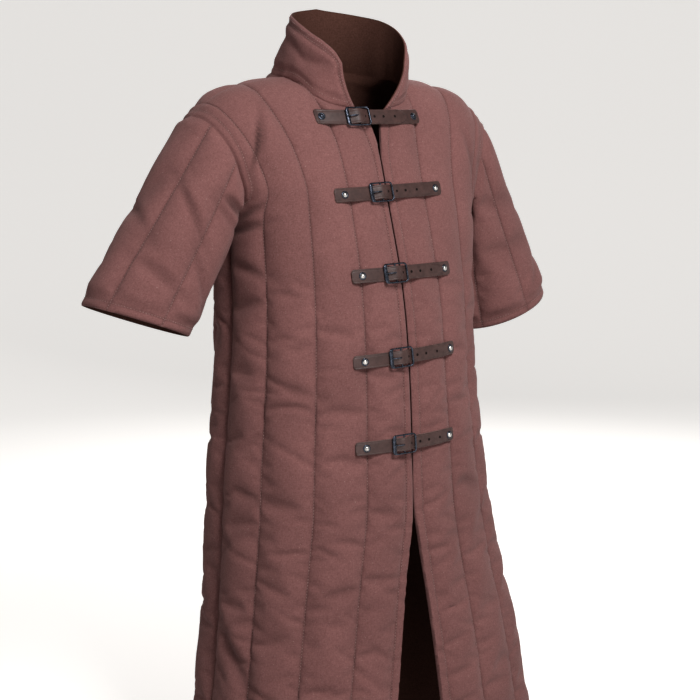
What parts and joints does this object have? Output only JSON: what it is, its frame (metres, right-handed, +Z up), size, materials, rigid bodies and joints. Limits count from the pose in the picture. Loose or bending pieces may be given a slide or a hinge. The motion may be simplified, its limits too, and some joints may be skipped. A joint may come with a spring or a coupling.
{
  "type": "gambeson",
  "caption": "Padded knee-length arming coat with half sleeves, a stand collar, vertical quilting and buckled leather straps down the front, worn under or as light armour.",
  "frame": {"origin": "between the shoulders, on the middle plane, at the height of the points where the collar meets the shoulder seams; the wearer's shoulders hold the coat up here", "axes": "+Z up along the wearer, the front faces -Y, the wearer's left is +X"},
  "size_m": [0.8733, 0.3946, 1.2288],
  "materials": {
    "canvas": "matte, quilted",
    "lining": "matte",
    "leather": "satin",
    "gunmetal": "satin",
    "steel": "satin"
  },
  "bodies": {
    "root": {"back": "canvas", "front_right": "canvas", "front_left": "canvas", "sleeve_right": "canvas", "sleeve_left": "canvas", "collar": "canvas", "lining_back": "lining", "lining_collar": "lining", "strap_1": "leather", "tab_1": "leather", "buckle_1": "gunmetal", "prong_1": "gunmetal", "rivet_strap_1": "steel", "rivet_tab_1": "steel", "strap_2": "leather", "tab_2": "leather", "buckle_2": "gunmetal", "prong_2": "gunmetal", "rivet_strap_2": "steel", "rivet_tab_2": "steel", "strap_3": "leather", "tab_3": "leather", "buckle_3": "gunmetal", "prong_3": "gunmetal", "rivet_strap_3": "steel", "rivet_tab_3": "steel", "strap_4": "leather", "tab_4": "leather", "buckle_4": "gunmetal", "prong_4": "gunmetal", "rivet_strap_4": "steel", "rivet_tab_4": "steel", "strap_5": "leather", "tab_5": "leather", "buckle_5": "gunmetal", "prong_5": "gunmetal", "rivet_strap_5": "steel", "rivet_tab_5": "steel"}
  },
  "joints": []
}
